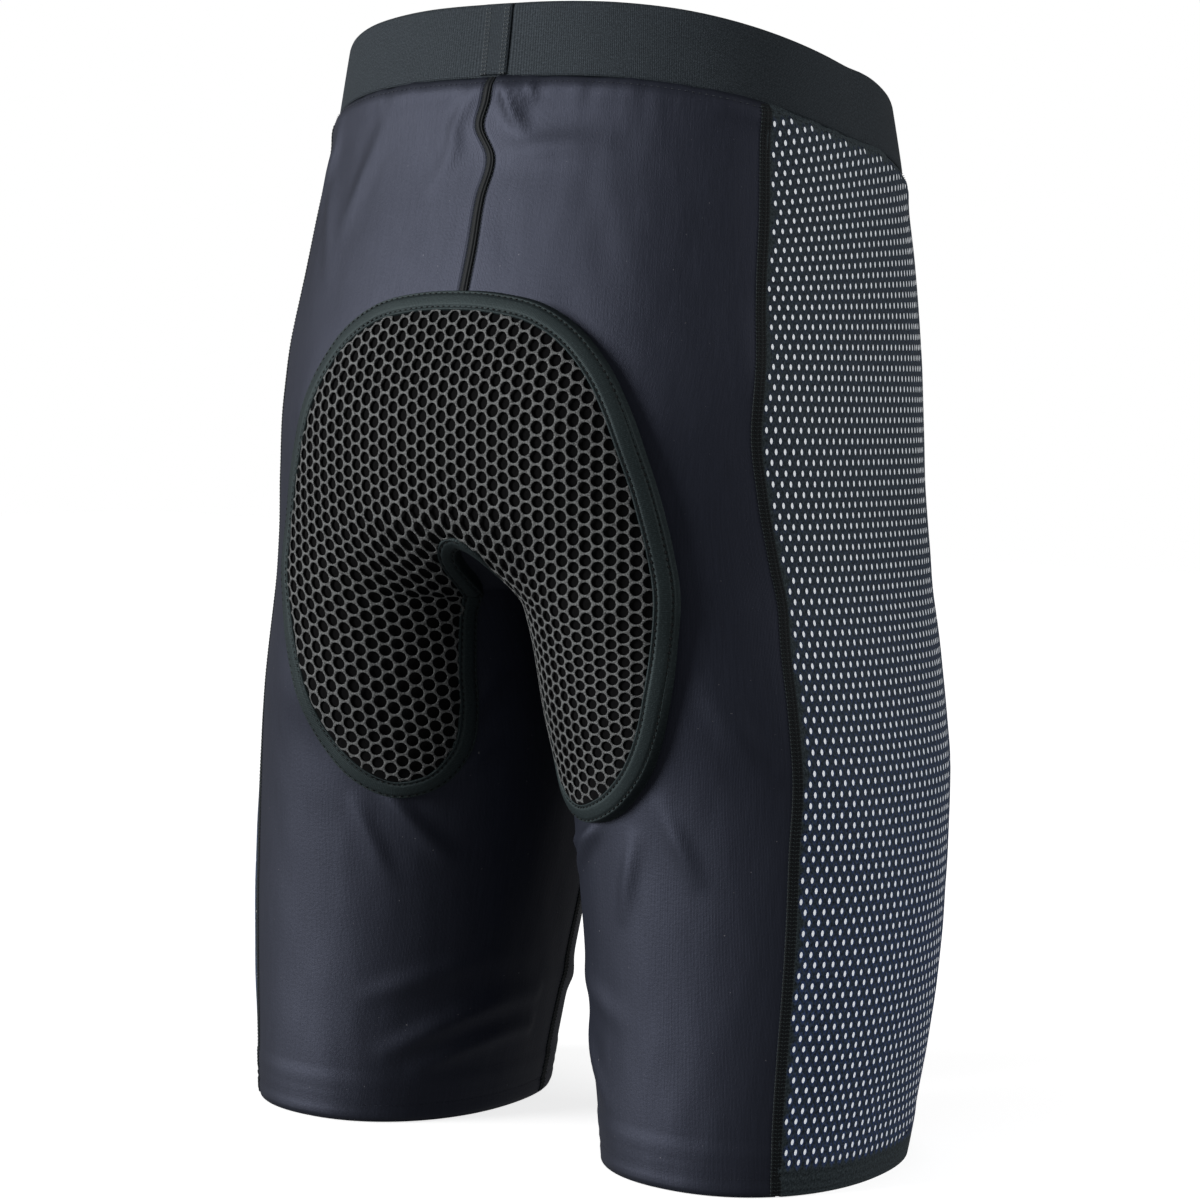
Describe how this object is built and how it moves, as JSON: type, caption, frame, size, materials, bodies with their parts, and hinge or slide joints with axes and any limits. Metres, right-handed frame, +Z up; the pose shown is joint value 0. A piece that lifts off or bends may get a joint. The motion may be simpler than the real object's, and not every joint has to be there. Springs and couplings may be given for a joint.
{
  "type": "padded impact shorts",
  "caption": "Close-fitting under-shorts with a sewn-on honeycomb tail pad, foam hip and thigh pads behind mesh side panels, and an elastic waistband.",
  "frame": {"origin": "on the ground under both hems, at the middle of the shorts' bounding box", "axes": "+Z up from the hems to the waist, -Y the way the wearer faces (the tail pad faces +Y), -X the wearer's right"},
  "size_m": [0.3564, 0.2494, 0.518],
  "materials": {
    "body_cloth": "smooth navy-charcoal nylon and elastane knit, soft sheen",
    "side_mesh_cloth": "ribbed warp-knit mesh with rows of small oval holes, dark green-black over navy",
    "elastic": "charcoal knitted elastic, matt, fine cross texture",
    "thread": "black flatlock stitching",
    "binding_cloth": "dark teal-grey folded knit tape",
    "spacer_mesh": "open honeycomb spacer mesh, grey strands over black",
    "dark_foam": "black impact foam",
    "pale_foam": "white perforated thin foam",
    "label_cloth": "blank pale woven label"
  },
  "bodies": {
    "root": {"back_panel_right": "body_cloth", "back_panel_left": "body_cloth", "front_panel_right": "body_cloth", "front_panel_left": "body_cloth", "side_mesh_panel_right": "side_mesh_cloth", "side_mesh_panel_left": "side_mesh_cloth", "side_pad_foam_right": "pale_foam", "side_pad_foam_left": "pale_foam", "side_pad_lining_right": "side_mesh_cloth", "side_pad_lining_left": "side_mesh_cloth", "hem_facing_right": "body_cloth", "hem_facing_left": "body_cloth", "side_seam_back_right": "thread", "side_seam_back_left": "thread", "side_seam_front_right": "thread", "side_seam_front_left": "thread", "inseam_right": "thread", "inseam_left": "thread", "centre_back_seam": "thread", "centre_front_seam": "thread", "waistband": "elastic", "waistband_join": "elastic", "care_label": "label_cloth", "tail_pad_backing": "body_cloth", "tail_pad_foam": "dark_foam", "tail_pad_mesh": "spacer_mesh", "tail_pad_binding": "binding_cloth"}
  },
  "joints": []
}
